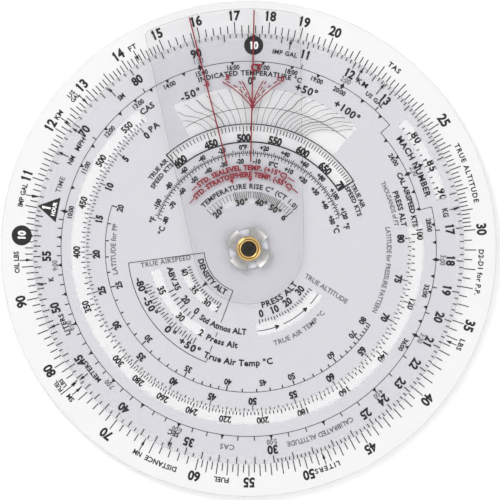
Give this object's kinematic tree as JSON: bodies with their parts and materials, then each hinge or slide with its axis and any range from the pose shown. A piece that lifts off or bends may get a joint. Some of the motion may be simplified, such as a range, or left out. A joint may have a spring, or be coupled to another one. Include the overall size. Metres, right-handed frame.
{
  "type": "circular flight computer",
  "caption": "Circular flight computer: printed base disc with a turning scale disc and clear hairline cursor in front, and turning course and wind discs behind, on a hollow rivet.",
  "frame": {"origin": "on the pivot axis, level with the lowest point of the rivet's rear curl", "axes": "+Z out of the calculator side, +Y towards the top of the calculator side, +X to its right"},
  "size_m": [0.1524, 0.1524, 0.0075],
  "materials": {
    "white_pvc": "satin white rigid PVC, screen printed",
    "grey_film": "satin light grey printed film",
    "clear_pvc": "clear glossy rigid PVC",
    "frosted_pvc": "frosted writable rigid PVC",
    "nylon": "natural nylon",
    "brass": "polished, drawn and curled",
    "spring_steel": "bright plated spring steel"
  },
  "bodies": {
    "base": {"base_disc": "white_pvc", "base_front_overlay": "clear_pvc", "base_rear_overlay": "clear_pvc", "eyelet": "brass", "spring_washer": "spring_steel", "rear_washer": "spring_steel", "cursor_spacer": "nylon", "front_disc_spacer": "nylon", "course_disc_spacer": "nylon", "wind_disc_spacer": "nylon"},
    "front_disc": {"front_disc": "clear_pvc", "front_disc_backing": "grey_film"},
    "cursor": {"cursor": "clear_pvc"},
    "course_disc": {"course_disc": "white_pvc", "course_disc_overlay": "clear_pvc"},
    "wind_disc": {"wind_disc": "frosted_pvc"}
  },
  "joints": [
    {"name": "front_disc_turn", "type": "hinge", "parent": "base", "child": "front_disc", "pos_m": [0, 0, 0.005], "axis": [0, 0, 1], "continuous": true},
    {"name": "cursor_turn", "type": "hinge", "parent": "base", "child": "cursor", "pos_m": [0, 0, 0.0059], "axis": [0, 0, 1], "continuous": true},
    {"name": "course_disc_turn", "type": "hinge", "parent": "base", "child": "course_disc", "pos_m": [0, 0, 0.0024], "axis": [0, 0, 1], "continuous": true},
    {"name": "wind_disc_turn", "type": "hinge", "parent": "base", "child": "wind_disc", "pos_m": [0, 0, 0.0015], "axis": [0, 0, 1], "continuous": true}
  ]
}
